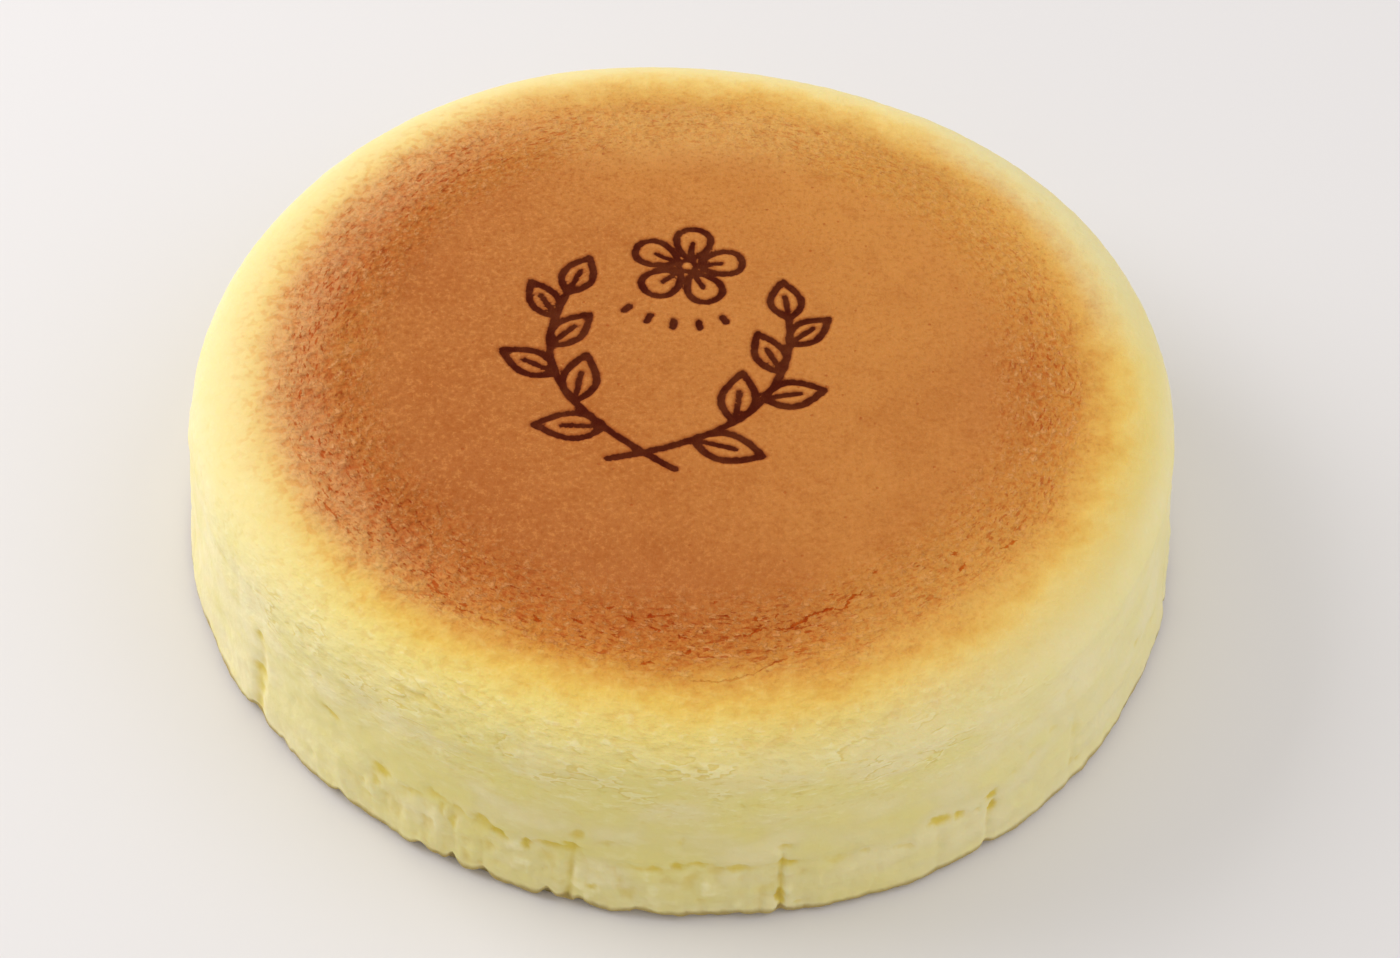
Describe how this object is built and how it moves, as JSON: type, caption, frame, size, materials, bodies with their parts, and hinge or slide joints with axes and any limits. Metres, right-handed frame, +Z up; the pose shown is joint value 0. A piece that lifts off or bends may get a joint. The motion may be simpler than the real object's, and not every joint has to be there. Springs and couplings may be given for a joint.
{
  "type": "cheesecake",
  "caption": "Whole round souffle cheesecake with a flat browned crust, a soft golden shoulder and a pale wall that shows the creases and torn skin left by its baking paper.",
  "frame": {"origin": "on the table, under the middle of the cake's outline", "axes": "+Z up out of the crust; -Y is the front, where the paper's narrow crease marks the wall just right of the middle"},
  "size_m": [0.1518, 0.1516, 0.0347],
  "materials": {
    "cheesecake": "matt, soft, fine-grained cake: brown crust on top, golden at the rim, pale cream-yellow wall and underside"
  },
  "bodies": {
    "root": {"cheesecake": "cheesecake"}
  },
  "joints": []
}
